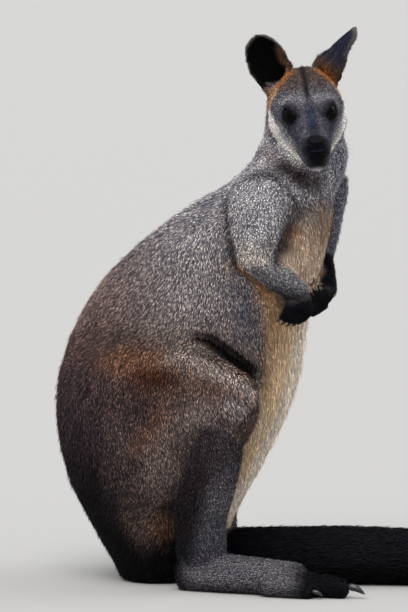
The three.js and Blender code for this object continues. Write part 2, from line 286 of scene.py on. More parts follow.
def split_edges(mesh, near):
    """Halves the edges whose two ends are both near."""
    form = bmesh.new()
    form.from_mesh(mesh)
    chosen = [e for e in form.edges if near[e.verts[0].index] and near[e.verts[1].index]]
    bmesh.ops.subdivide_edges(form, edges=chosen, cuts=1, use_grid_fill=True)
    form.to_mesh(mesh)
    form.free()
    mesh.update()


def head_places(points):
    """Points in the head's axes, in millimetres."""
    return (points - np.array(head_at)) @ head_axes.T / MM


DRAW_IN, LET_OUT = 0.5, 0.51  # of the way to the middle of its neighbours, in turn for each vertex


def even_out(mesh, rounds_of):
    """Smooths facets away without shrinking the form, by so many rounds at each vertex."""
    web = Web(mesh)
    points = points_of(mesh)
    for i in range(int(rounds_of.max())):
        weight = np.clip(rounds_of - i, 0, 1)[:, None]
        points = points + DRAW_IN * weight * (web.mean(points) - points)
        points = points - LET_OUT * weight * (web.mean(points) - points)
    set_points(mesh, points)


def per_part(names, column):
    table = {name: PELT[part_of(name)][column] for name in FLESH}
    return np.array([table[name] for name in names], float)


def along_trunk(y):
    """The share of the trunk's depth, from its front to its back, that lies before a place on y."""
    low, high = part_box("trunk")
    return (y - low.y) / (high.y - low.y)


# The long pale hair along the front of the belly fades out between each pair of places.
FRINGE_DEPTH = 4 * MM  # it stands this much deeper than the hair about it
FRINGE_BACK = (0.3, 0.16)  # of the trunk's depth
FRINGE_FOOT = (70, 110)  # up from the floor, in millimetres
FRINGE_HEAD = (350, 300)
FRINGE_SIDE = (70, 50)  # out from the middle


def fringe_share(names, points):
    """How much each point belongs to the long pale hair of the belly."""
    x, y, z = points.T
    reach = smooth(*FRINGE_BACK, along_trunk(y)) * smooth(*FRINGE_FOOT, z / MM)
    return reach * smooth(*FRINGE_HEAD, z / MM) * smooth(*FRINGE_SIDE, np.abs(x) / MM) * (names == "trunk")


def near_border(web, names, first, others):
    """How near each vertex is to the border of some parts with some others."""
    kind = np.array([part_of(name) for name in names])
    share = web.spread(np.isin(kind, first).astype(float), 16)
    return 4 * share * (1 - share) * web.spread(np.isin(kind, (*first, *others)).astype(float), 6)


# The neck and the tops of the arms run smoothly into the trunk, and the thighs into the back.
JOIN_ROUNDS = 140
ARM_JOIN = (0.425, 0.45)  # the arm and the thigh begin to run on over these heights
THIGH_JOIN = (0.12, 0.16)
CLEAR_OF_FOLD = (12 * MM, 24 * MM)
names = names_on(hide.data)
web = Web(hide.data)
even_out(hide.data, web.spread(per_part(names, ROUNDS), 12))
points = points_of(hide.data)
join = near_border(web, names, ["upper_arm"], ["neck", "trunk"]) * smooth(*ARM_JOIN, points[:, 2])
join = np.maximum(join, near_border(web, names, ["neck"], ["trunk", "upper_arm"]))
haunch = near_border(web, names, ["thigh"], ["trunk"]) * smooth(*THIGH_JOIN, points[:, 2])
join = np.maximum(join, haunch * smooth(*CLEAR_OF_FOLD, fold_distance(points)))
join = np.clip(2.0 * web.spread(join, 4), 0, 1)[:, None]
for _ in range(JOIN_ROUNDS):
    points = points + DRAW_IN * join * (web.mean(points) - points)
set_points(hide.data, points)

# The face is split finer, and the hide drawn in by the fur's depth, which is short on the muzzle.
FACE_REACH = ((-46, 46), (-16, 90), (-50, 30))  # to each side, ahead and up, in millimetres
MUZZLE = (25, 52)  # ahead
MUZZLE_SHORTER = 0.7
NOSE_NEAR = 1.5 * MM  # the hide this near to the nose pad passes behind it
NOSE_ROOM = 5 * MM  # and so far behind
on_axes = head_places(points_of(hide.data)).T
on_face = np.all([(low < at) & (at < high) for at, (low, high) in zip(on_axes, FACE_REACH)], axis=0)
split_edges(hide.data, on_face & (names_on(hide.data) == "head"))
names = names_on(hide.data)
web = Web(hide.data)
points = points_of(hide.data)
fur_depth = web.spread(per_part(names, DEPTH) * MM + FRINGE_DEPTH * fringe_share(names, points), 10)
fur_depth *= 1 - MUZZLE_SHORTER * smooth(*MUZZLE, head_places(points)[:, 1]) * (names == "head")
nose_tree, _ = surface_of(["nose"])
behind_nose = np.array([nose_tree.find_nearest(Vector(p))[3] < NOSE_NEAR for p in points])
fur_depth[behind_nose] = NOSE_ROOM
set_points(hide.data, points - fur_depth[:, None] * unit(web.spread(normals_of(hide.data), 4)))

# Eyelids: the hide lies over each eyeball as a lid, and opens in an almond that shows the eye.
EYE_RADIUS = 9.6 * MM
EYE_DEPTH = 1.4 * MM  # the eyeball is set this much deeper than its solid, to leave room for the lid
LID = 1.1 * MM  # thickness of the lid over the eyeball
GAZE = {"right": (-0.68, 0.66, 0.32), "left": (0.68, 0.66, 0.32)}
OPENING = (7.6, 4.4, 3.8)  # half length, and the rise and fall of its rims, in millimetres
SLIT_DROP = 0.28  # how steeply the opening falls towards the nose
LID_REACH = (7.0, 2.0)  # how far out from the opening the flesh begins and ends to lie on the eyeball
LID_CREASE = (0.9, 3.6, 1.0)  # above the eye: its depth, how far out it lies, and its width
LID_RIM = (0.4, 0.9, 0.7)  # the swollen rim, given in the same way
TUCK = 2 * MM  # within the opening the hide passes this far behind the front of the eyeball
EYE_HEART = 0.3  # of the eyeball's radius, within which nothing is moved
LIDS_END = EYE_RADIUS + 9 * MM  # from the middle of the eyeball, beyond which nothing is moved
SPLIT_END = EYE_RADIUS + 6 * MM  # and within which the faces are halved


def eye_middle(side):
    s, a, u = GAZE[side]
    return middle("eye_" + side) - (head_side * s + head_ahead * a + head_up * u) * EYE_DEPTH


def eye_distance(points, side):
    return np.linalg.norm(points - np.array(eye_middle(side)), axis=1)


def gaze_axes(side):
    """Ahead along the gaze, along the slit of the lids, and up from it."""
    s, a, u = GAZE[side]
    gaze = (head_side * s + head_ahead * a + head_up * u).normalized()
    slit = head_ahead - head_up * SLIT_DROP
    slit = (slit - gaze * slit.dot(gaze)).normalized()
    rise = slit.cross(gaze)
    return gaze, slit, rise if rise.dot(head_up) > 0 else -rise


def lid_margin(points, side):
    """How far outside the opening of the lids each point is, and how far above its middle, in
    millimetres over the eyeball."""
    gaze, slit, rise = (np.array(axis) for axis in gaze_axes(side))
    way = unit(points - np.array(eye_middle(side)))
    along, over = EYE_RADIUS / MM * (way @ slit), EYE_RADIUS / MM * (way @ rise)
    length, top, bottom = OPENING
    arch = np.maximum(1 - (along / length) ** 2, 0) ** 0.8
    gap = np.where(over > 0, over - top * arch, -over - bottom * arch)
    margin = np.maximum(gap, np.abs(along) - length)
    return np.where(way @ gaze > 0, margin, np.inf), over


def open_lids(points, side):
    centre = np.array(eye_middle(side))
    far = eye_distance(points, side)
    margin, over = lid_margin(points, side)
    lid = EYE_RADIUS + LID
    drawn = far + smooth(*LID_REACH, margin) * (lid - far)
    drawn = np.maximum(drawn, lid)
    deep, out, wide = LID_CREASE
    drawn -= deep * MM * hump(margin - out, wide) * (over > 0)
    high, out, wide = LID_RIM
    drawn += high * MM * hump(margin - out, wide)
    shut = smooth(-0.5, 0.4, margin)
    target = EYE_RADIUS - TUCK + shut * (drawn - EYE_RADIUS + TUCK)
    near = (far < LIDS_END) & (far > EYE_HEART * EYE_RADIUS) & np.isfinite(margin)
    return np.where(near[:, None], centre + unit(points - centre) * target[:, None], points)


points = points_of(hide.data)
close = np.zeros(len(points), bool)
for side in SIDES:
    close |= eye_distance(points, side) < SPLIT_END
split_edges(hide.data, close)
for side in SIDES:
    set_points(hide.data, open_lids(points_of(hide.data), side))

# Forms of the face, in the head's axes, alike on both sides: hollows (less than nothing) and swells
# by their places, radii and heights, all in millimetres.
FACE_FORMS = [
    ((14, 18, 3), 6.5, -1.6),  # the hollow in front of the eye
    ((22, -4, 15), 8, 1.3),  # the brow
    ((12, 44, -12), 7, 1.2),  # the whisker pad
    ((0, 26, 8), 7, 0.8),  # the bridge
    ((32, 2, -16), 9, 1.2),  # the cheek
]
MOUTH = [(0, 58, -19.5), (6, 56, -21.5), (11, 47, -25), (15, 34, -28), (18, 24, -29)]
MOUTH_DEPTH = 1.7
MOUTH_WIDTH = 1.1


def folded(face):
    """Places in the head's axes with its right side laid over its left."""
    return np.abs(face * (1, 0, 0)) + face * (0, 1, 1)


names = names_on(hide.data)
web = Web(hide.data)
points = points_of(hide.data)
normals = unit(web.spread(normals_of(hide.data), 3))
cheek = folded(head_places(points))
press = np.zeros(len(points))
for place, radius, height in FACE_FORMS:
    press += height * hump(np.linalg.norm(cheek - place, axis=1), radius)
mouth_far = line_distance(cheek, MOUTH)
press -= MOUTH_DEPTH * hump(mouth_far, MOUTH_WIDTH)
press *= names == "head"
points += press[:, None] * MM * normals

# The fold of the flank and the creases are pressed in along their lines.
on_coat = points + web.spread(per_part(names, DEPTH), 10)[:, None] * MM * normals
fold_far = fold_distance(on_coat)
pressed = FOLD_DEPTH * hump(fold_far, FOLD_WIDTH)
for line, deep, wide in CREASES:
    pressed += deep * MM * hump(line_distance(on_coat / MM, line), wide)
set_points(hide.data, points - pressed[:, None] * normals)

# ---------------------------------------------------------------- the lie of the coat
# Hair grows from the nose over the crown and down the neck, down the back, flanks and thighs, and
# outwards along the limbs, ears and tail.
PART_WAY = {
    "neck": (0, 0.4, -1),
    "thigh": (0, -0.12, -1),
    "foot": (0, -1, -0.15),
    "tail_base": (0.05, -1, 0),
    "tail_middle": (0.2, -1, 0),
    "tail_tip": (-0.2, -1, 0),
}
NOSE_TIP = (0, 62, -4)  # in the head's axes: the hair of the head lies away from here


def axis_of(name, towards):
    """The long axis of a solid, pointing towards a place."""
    points = points_of(nodes[name].data)
    centred = points - points.mean(0)
    axis = np.linalg.eigh(centred.T @ centred)[1][:, -1]
    return axis if axis @ (np.array(towards) - points.mean(0)) > 0 else -axis


def lie_of(names, points):
    """The way that the hair lies at each point, before it is laid onto the surface."""
    lie = np.zeros((len(points), 3))
    depth = np.clip(along_trunk(points[:, 1]), 0, 1)
    for name in FLESH:
        here = names == name
        part = part_of(name)
        side = name.split("_")[-1]
        count = int(here.sum())
        if part == "trunk":
            lie[here] = np.stack([np.zeros(count), -0.45 + 1.5 * depth[here], -np.ones(count)], 1)
        elif part == "head":
            lie[here] = unit(points[here] - np.array(on_head(*NOSE_TIP)))
        elif part == "ear":
            lie[here] = axis_of(name, middle(name) * 2 - head_at)
        elif part in ("upper_arm", "shank"):
            lie[here] = axis_of(name, middle(name) - Vector((0, 0, 1)))
        elif part in ("forearm", "hand"):
            lie[here] = axis_of("forearm_" + side, middle("hand_" + side))
        else:
            lie[here] = PART_WAY[part]
    return lie


def laid(vectors, normals):
    return unit(vectors - (vectors * normals).sum(1, keepdims=True) * normals)


WANDER = 0.22  # how far the hair strays from its way
WANDER_SCALE = 28  # and how quickly that changes, to the metre
LIE_ROUNDS = 14
noise.seed_set(7)  # unseeded, noise vectors would differ from run to run
points = points_of(hide.data)
normals = unit(web.spread(normals_of(hide.data), 2))
drift = np.array([noise.noise_vector(Vector(p) * WANDER_SCALE) for p in points])
lie = laid(lie_of(names, points), normals)
for _ in range(LIE_ROUNDS):
    lie = laid(web.spread(lie, 1, 0.8), normals)
lie = laid(lie + WANDER * drift, normals)

# Hairs gather into locks: a value that changes across the lie of the coat more quickly than along it.
rng = np.random.default_rng(7)
strands = Web(hide.data)
run = unit(points[strands.b] - points[strands.a])
strands.weight = 0.03 + np.abs((run * (lie[strands.a] + lie[strands.b]) / 2).sum(1)) ** 4
locks = strands.spread(rng.normal(0, 1, len(points)), 7, 0.8)
locks /= locks.std()
mild_locks = np.clip(locks, -2, 2)

# ---------------------------------------------------------------- markings
# Grizzled silver over the neck, shoulders and upper back, darkening to the rump, rusty over the
# haunch, tan below, and black on the paws, toes, tail and ears. The colours are those of the coat as
# it is seen, from 0 to 255, so the ramps also hold painted shade: they fall near black towards the
# floor. A ramp goes by height in millimetres.
SPINE = [
    (30, (6, 5, 7)),
    (60, (9, 7, 9)),
    (100, (19, 15, 18)),
    (140, (37, 29, 32)),
    (180, (50, 40, 43)),
    (230, (62, 48, 50)),
    (275, (84, 67, 63)),
    (320, (118, 101, 96)),
    (370, (112, 100, 99)),
    (410, (124, 118, 122)),
    (450, (130, 128, 133)),
    (500, (134, 131, 134)),
]
FLANK = [
    (30, (5, 4, 6)),
    (60, (20, 16, 18)),
    (90, (50, 42, 42)),
    (120, (76, 66, 65)),
    (240, (108, 97, 91)),
    (282, (114, 101, 95)),
    (315, (126, 118, 117)),
    (360, (138, 133, 132)),
    (403, (148, 144, 145)),
    (450, (150, 147, 150)),
    (500, (138, 135, 138)),
]
THIGH = [
    (42, (24, 18, 17)),
    (60, (60, 49, 45)),
    (90, (90, 77, 74)),
    (130, (106, 92, 88)),
    (165, (92, 78, 73)),
    (190, (78, 63, 60)),
    (215, (80, 63, 58)),
    (240, (90, 70, 60)),
    (265, (114, 99, 90)),
]
SHANK_FRONT = [
    (30, (60, 58, 66)),
    (70, (76, 74, 80)),
    (108, (88, 86, 90)),
    (150, (60, 55, 58)),
    (190, (70, 62, 62)),
]
# The back of the shank is darker, with painted shadow of the haunch over it.
SHANK_REAR = [
    (30, (14, 12, 17)),
    (90, (26, 20, 23)),
    (130, (34, 27, 30)),
    (180, (54, 46, 48)),
]


def linear(colour):
    """A colour as it is seen, from 0 to 255, made linear."""
    value = np.asarray(colour, float) / 255
    return np.where(value > 0.04045, ((value + 0.055) / 1.055) ** 2.4, value / 12.92)


def ramp(value, stops):
    colours = linear([colour for _, colour in stops])
    return np.stack([np.interp(value, [at for at, _ in stops], column) for column in colours.T], 1)


BALL_EDGE = (1.35, 0.45)  # a mark fades over these shares of its radius
STREAK_EDGE = (1.35, 0.4)


def ball(points, centre, radii):
    """Full inside an ellipsoid and nothing outside it, with a soft edge. Millimetres."""
    return smooth(*BALL_EDGE, np.linalg.norm((points - np.array(centre)) / np.array(radii), axis=1))


def streak(points, corners, radius):
    """Full along a line and nothing away from it, with a soft edge. Millimetres."""
    return smooth(*STREAK_EDGE, line_distance(points, corners) / radius)


def share_of(prefix, rounds=8):
    """How much each vertex belongs to the parts whose names start so, with soft borders."""
    return web.spread(np.array([name.startswith(prefix) for name in names], float), rounds)


# Marks are placed where the hairs are seen, out on the coat and some way along from their roots.
SEEN_ALONG = 0.5
seen = points + web.spread(per_part(names, DEPTH), 10)[:, None] * MM * normals
seen += SEEN_ALONG * web.spread(per_part(names, LENGTH), 6)[:, None] * MM * lie
places = seen / MM
x, y, z = places.T
half = places * (-1, 1, 1)
half[:, 0] = -np.abs(x)  # both sides of the animal are marked alike, as its right side
face = head_places(seen)
cheek = folded(face)
pelt = np.zeros((len(points), 3))
grizzle = np.ones(len(points))  # how far the hairs differ from each other


def paint(colour, share, ticked=None):
    share = np.clip(share, 0, 1)
    goal = linear(colour) if isinstance(colour, tuple) else colour
    pelt[:] += share[:, None] * (goal - pelt)
    if ticked is not None:
        grizzle[:] += share * (ticked - grizzle)


def paint_marks(marks, at, within):
    """Paints a list of marks: colour, place or line, size, strength, and how ticked the hairs are."""
    for colour, place, size, strength, *ticked in marks:
        reach = streak(at, place, size) if isinstance(place, list) else ball(at, place, size)
        paint(colour, strength * reach * within, *ticked)


body = share_of("trunk") + share_of("thigh")
trunk = share_of("trunk")
thigh = share_of("thigh", 14)
neck = share_of("neck")
paint(ramp(z, FLANK), np.ones(len(points)))
paint(ramp(z, THIGH), thigh)
over_back = smooth(185, 300, y) * smooth(190, 250, z)
paint(ramp(z, SPINE), np.maximum(over_back, smooth(232, 310, y)))

# Marks on the body in the frame's axes. The ridge of the thigh runs below the fold.
RIDGE = [
    (-119, 208, 268), (-112, 184, 272), (-114, 166, 260),
    (-114, 145, 250), (-112, 124, 240), (-104, 110, 228),
]
BODY_MARKS = [
    ((66, 54, 50), (-86, 270, 275), (30, 50, 22), 0.6),  # below the ribs
    ((116, 82, 62), (-112, 246, 259), (46, 60, 17), 0.85),  # rufous haunch
    ((56, 23, 3), (-123, 222, 242), (30, 34, 13), 0.95),  # its dark heart
    ((50, 39, 40), (-129, 232, 204), (24, 32, 15), 0.7),  # painted shadow in the hollow of the thigh
    ((118, 102, 96), [(-126, 160, 220), (-130, 182, 200), (-128, 208, 174), (-116, 214, 132)], 15, 0.5),
    ((142, 127, 121), (-128, 164, 200), (14, 17, 17), 0.75),
    ((94, 86, 86), (-124, 138, 178), (22, 16, 22), 0.7),  # knee
    ((146, 137, 136), [(-118, 132, 214), (-112, 122, 206)], 12, 0.75),
    ((152, 138, 131), RIDGE, 11, 0.9),
    ((94, 92, 98), [(-86, 140, 350), (-80, 130, 325), (-74, 127, 296)], 17, 0.85),  # painted shade under the arm
    ((100, 95, 95), (-80, 134, 278), (24, 22, 14), 0.6),
    ((120, 80, 60), [(-129, 206, 202), (-129, 224, 183), (-127, 242, 163)], 9, 0.5),  # rusty streak
    ((50, 38, 37), (-120, 252, 138), (24, 20, 26), 0.6),
    ((92, 78, 72), [(-104, 240, 112), (-90, 246, 88), (-82, 244, 68)], 26, 0.6),  # below the thigh
    ((108, 78, 56), (-80, 226, 69), (22, 20, 18), 0.6),  # beside the heel
]
paint_marks(BODY_MARKS, half, body)

# The belly is tan, and palest along its middle. The chest is tan where it faces forward.
BELLY_EDGE = [(60, 34), (120, 44), (165, 60), (200, 60), (236, 52), (270, 56), (300, 63), (340, 70)]
edge = np.interp(z, [at for at, _ in BELLY_EDGE], [out for _, out in BELLY_EDGE])
front_half = smooth(0.55, 0.45, along_trunk(y * MM))
belly = trunk * smooth(6, -6, np.abs(x) - edge) * front_half * smooth(360, 346, z)
paint((164, 136, 106), belly, 0.4)
paint((218, 191, 156), belly * smooth(48, 34, np.abs(x)))
paint((232, 222, 207), belly * smooth(26, 8, np.abs(x)))
paint((206, 186, 160), belly * ball(half, (-50, 120, 172), (26, 22, 44)) * 0.7)
CHEST = [
    (340, (220, 196, 172)),
    (371, (204, 180, 158)),
    (385, (192, 168, 146)),
    (402, (162, 142, 124)),
    (422, (130, 118, 110)),
    (440, (102, 95, 94)),
    (460, (84, 82, 88)),
]
CHEST_WAY = unit(np.array([-0.42, -0.9, 0]))
chest = smooth(0.6, 0.8, normals @ CHEST_WAY) * trunk * smooth(334, 350, z)
paint(ramp(z, CHEST), chest)
paint(ramp(z, CHEST), chest * smooth(440, 415, z), 0.4)
CHEST_MARKS = [
    ((176, 120, 68), [(-76, 82, 400), (-68, 74, 404)], 9, 0.9),
    ((104, 76, 52), [(-78, 86, 388), (-70, 78, 386)], 6, 0.8),
    ((138, 106, 78), [(-37, 51, 445), (-40, 50, 415), (-33, 54, 388)], 5, 0.8),
    ((190, 136, 74), [(-12, 48, 412), (-6, 54, 396)], 9, 0.8),
]
paint_marks(CHEST_MARKS, places, trunk)

# The limbs and tail.
arm_right = share_of("upper_arm_right")
fore_right = share_of("forearm_right", 4)
paint((160, 158, 160), arm_right)
paint((196, 194, 196), arm_right * ball(places, (-78, 120, 446), (26, 26, 22)) * 0.7)
paint((190, 180, 170), arm_right * smooth(404, 376, z) * smooth(-86, -92, x) * 0.8)
outside_left = smooth(0.0, 0.6, normals[:, 0])
# Painted shade: the far upper arm is darker all over, but for its outside.
paint((118, 116, 124), share_of("upper_arm_left"))
paint((150, 148, 152), share_of("upper_arm_left") * outside_left)
FOREARM = [
    (318, (12, 11, 15)),
    (328, (38, 36, 42)),
    (340, (98, 97, 101)),
    (354, (124, 122, 124)),
    (368, (156, 152, 149)),
    (385, (166, 158, 151)),
]
paint(ramp(z, FOREARM), fore_right)
paint((20, 18, 25), share_of("forearm_left", 4), 0.5)
paint(ramp(z, FOREARM), share_of("forearm_left", 4) * outside_left, 1)
ARM_MARKS = [
    # painted shade along the crease before the arm
    ((52, 50, 56), [*BEFORE_ARM, (-80, 90, 374)], 9, 0.85),
    ((100, 97, 101), [(-80, 88, 448), (-94, 96, 410), (-96, 96, 384)], 9, 0.5),
    # dark grizzled hair with painted shade along the crease behind the arm
    ((76, 72, 74), BEHIND_ARM[:3], 6, 0.6, 1.2),
    ((46, 42, 44), BEHIND_ARM[2:], 7, 0.85, 1.3),
    ((176, 122, 76), [(-92, 134, 364), (-86, 124, 354), (-78, 113, 342), (-66, 105, 326)], 6, 0.9, 0.5),
    ((184, 148, 108), [(-66, 105, 326), (-56, 101, 306), (-48, 98, 290)], 9, 0.8),
]
paint_marks(ARM_MARKS, places, trunk + neck + arm_right + 0.7 * fore_right)
deep_fold = np.minimum(fold_far, fold_distance(seen))
# Painted shade: the hair deep in the fold between flank and thigh is darkened.
paint((17, 13, 13), smooth(8.5 * MM, 5 * MM, deep_fold) * body, 0.2)
paint((8, 7, 11), share_of("hand", 3), 0.25)
shank = share_of("shank")
left_leg_behind = (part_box("foot_left")[0].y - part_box("foot_right")[0].y) / MM
leg_y = y - left_leg_behind * (x > 0)  # both legs are painted alike, as the right one
rear = smooth(152, 174, leg_y + 0.3 * (z - 100))
paint(ramp(z, SHANK_FRONT), shank, 0.9)
# painted shadow of the haunch on the back of the shank
paint(ramp(z, SHANK_REAR), shank * rear)
foot = share_of("foot", 4)
paint((108, 105, 110), foot, 0.9)
paint((76, 72, 76), foot * smooth(14, 5, z), 0.6)
# painted shadow at the heel
paint((42, 40, 47), foot * smooth(186, 198, leg_y))
paint((13, 12, 18), foot * smooth(76, 50, leg_y), 0.3)
tail = share_of("tail", 5)
paint((13, 13, 19), tail, 0.45)
paint((5, 5, 8), tail * smooth(30, 12, z))

# The head. Marks in its own axes, alike on both sides.
head = share_of("head", 4)
hind = np.clip(head + neck + share_of("ear"), 0, 1)  # the back of the head, and what it meets
paint((84, 82, 87), head, 1.2)
paint((154, 151, 154), neck)
HEAD_MARKS = [
    ((70, 56, 48), (4, -46, 28), (34, 34, 20), 0.9),  # crown
    ((130, 128, 133), [(9, -6, 17), (19, -13, 14), (28, -14, 9)], 8, 0.8, 1.2),  # brow
    ((92, 90, 96), (33, -16, 3), (8, 12, 10), 0.8),
    ((100, 100, 108), (34, -2, -16), (9, 10, 9), 0.8),  # cheek
    ((52, 52, 64), [(24, 10, -8), (22, 22, -10), (19, 34, -14)], 9, 0.85),  # below the eye
    ((66, 66, 78), [(14, 10, 5), (16, 24, 0)], 6, 0.7),
    ((42, 49, 72), [(0, 10, 12), (0, 26, 7)], 8, 0.85, 0.7),  # bridge: dark fur with a painted bluish sheen of the sky
    # the same painted bluish sheen, on down to the nose
    ((26, 30, 44), [(0, 34, 5), (0, 48, 0)], 10, 0.85, 0.5),
    ((26, 25, 33), [(12, 44, -8), (14, 52, -16)], 8, 0.8),  # beside the nose
    ((40, 38, 48), [(28, 4, 10), (25, 18, 3), (20, 24, 3)], 9, 0.8, 0.6),  # round the eye
    ((5, 4, 7), [(0, 54, -12), (0, 57, -27)], 15, 0.97, 0.2),  # lips
    ((190, 188, 196), [(0, 54, -43), (10, 46, -42), (15, 34, -40)], 6, 0.9, 0.4),  # chin
]
paint_marks(HEAD_MARKS, cheek, head)
CHEEK_LINE = [(42, -34, -12), (39, -20, -15), (36, -9, -21), (33, 0, -27), (25, 10, -36), (17, 24, -42)]
JAW_MARKS = [
    ((224, 220, 214), CHEEK_LINE, 10, 0.95, 0.5),  # the pale stripe along the jaw
    ((150, 148, 149), [(33, -4, -14), (28, 8, -22), (21, 20, -31)], 8, 0.6),
]
paint_marks(JAW_MARKS, cheek, head + 0.35 * neck)
HIND_MARKS = [
    ((168, 122, 86), [(36, -52, 14), (42, -54, 2), (42, -46, -6)], 9, 0.85, 0.6),  # under the ear
    ((136, 84, 42), [(18, -45, 29), (23, -42, 25), (31, -41, 16)], 8, 0.9, 0.6),  # before the ear
    ((186, 146, 112), [(33, -40, 13), (38, -43, 7), (40, -42, 0)], 7, 0.9, 0.6),
]
paint_marks(HIND_MARKS, cheek, hind)
stripe = smooth(3.6, 1.8, np.abs(face[:, 0] + 1)) * smooth(-56, -48, face[:, 1]) * smooth(4, -8, face[:, 1])
paint((14, 10, 13), 0.95 * stripe * head * (face[:, 2] > 0), 0.2)
LID_EDGE = (1.8, 0.8)  # the bare black rims of the lids end this far out
LID_SHADE = (8.0, 1.0)  # and the dark hair about them this far out
SHADE_END = EYE_RADIUS + 8 * MM
for side in SIDES:
    margin = lid_margin(points, side)[0]
    near = eye_distance(points, side) < SHADE_END
    paint((22, 20, 28), 0.85 * smooth(*LID_SHADE, margin) * near, 0.4)
    paint((6, 5, 7), smooth(*LID_EDGE, margin) * near, 0)
paint((6, 5, 7), hump(mouth_far, 1.3) * head, 0.2)
THROAT_MARKS = [
    # painted shadow under the jaw, darkest nearest to it
    ((72, 62, 60), [(-36, 12, -52), (-28, 22, -54), (-14, 30, -62), (2, 32, -68)], 11, 0.85),
    ((34, 29, 31), [(-33, 14, -50), (-25, 24, -56), (-14, 30, -61)], 7, 0.85),
    ((110, 84, 60), [(-48, -16, -46), (-40, 0, -48)], 7, 0.6),
    # a painted bluish sky light on the far side of the neck
    ((120, 120, 132), (32, 2, -58), (12, 20, 16), 0.7),
]
paint_marks(THROAT_MARKS, face, neck)

# The ears: black within, slate behind, brown at their roots, with a pale rim.
EAR_OPENS = {"right": (-0.25, 0.9, 0.3), "left": (0.94, 0.1, -0.35)}
CROWN_SIDE = {"right": 22, "left": 26}  # the long hair before the ear is within this of the middle
EAR_FOOT, EAR_HEIGHT = 14, 56  # up from the head's axes
RIM_BEND = 0.12 * MM  # the hide stands out from its neighbours by this along a rim
rim_edge = np.clip(web.spread(((points - web.mean(points)) * normals).sum(1), 1) / RIM_BEND, 0, 1)
rim = np.zeros(len(points))
ear_root = np.zeros(len(points))
inner_ear = np.zeros(len(points))
for side in SIDES:
    low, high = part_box("ear_" + side)
    ear = share_of("ear_" + side, 3)
    opening = np.array(EAR_OPENS[side]) @ head_axes
    inner = smooth(-0.1, 0.35, normals @ opening) * ear
    paint((34, 36, 54), ear, 0.5)
    rise = (face[:, 2] - EAR_FOOT) / EAR_HEIGHT
    root_share = ear * smooth(0.52, 0.12, rise) * (1 - 0.85 * inner)
    paint((88, 67, 52), root_share, 0.9)
    paint((2, 1, 2), inner, 0.1)
    beyond_crown = np.abs(face[:, 0]) - CROWN_SIDE[side] - 0.55 * (face[:, 2] - 20)
    ear_root = np.maximum(ear_root, root_share * smooth(4, -4, beyond_crown))
    inner_ear = np.maximum(inner_ear, inner)
    rim = np.maximum(rim, smooth(0.45, 0.9, rim_edge) * ear * smooth(0.1, 0.25, rise))
paint((120, 112, 108), 0.6 * rim, 0.3)
EAR_MARKS = [
    ((116, 86, 64), [(-23, -71, 52), (-20, -71, 39), (-16, -58, 38), (-13, -56, 30)], 7, 0.9, 0.5),
    ((40, 29, 27), [(-12, -60, 42), (-9, -58, 32)], 4, 0.8, 0.5),
    ((140, 82, 36), [(22, -56, 22), (28, -54, 19), (33, -50, 14)], 8, 0.85, 0.5),
    ((140, 82, 36), [(-16, -56, 24), (-22, -60, 18)], 7, 0.85, 0.5),
]
paint_marks(EAR_MARKS, face, hind)
pelt = web.spread(pelt, 2)

# The coat is a little uneven, in soft patches and from lock to lock.
PATCHES = 0.056
PATCH_SCALE = 55  # to the metre
LOCK_SHADE = 0.06
patches = np.array([noise.noise(Vector(p) * PATCH_SCALE) for p in points])
pelt *= 1 + (grizzle * (PATCHES * patches + LOCK_SHADE * mild_locks))[:, None]


# Under the coat the hide takes the colours of the hair above it, darkened as painted shade between
# the hairs. Materials are sums of shader sockets, and a finish holds one material.


class Value:
    """A shader socket that can be added to, multiplied and so on."""

    def __init__(self, finish, socket):
        self.finish = finish
        self.socket = socket

    def sum(self, operation, first, second):
        return self.finish.node("ShaderNodeMath", {"operation": operation}, {0: first, 1: second})

    def __radd__(self, other):
        return self.sum("ADD", other, self)

    def __sub__(self, other):
        return self.sum("SUBTRACT", self, other)

    def __rsub__(self, other):
        return self.sum("SUBTRACT", other, self)

    def __mul__(self, other):
        return self.sum("MULTIPLY", self, other)

    def __rmul__(self, other):
        return self.sum("MULTIPLY", other, self)


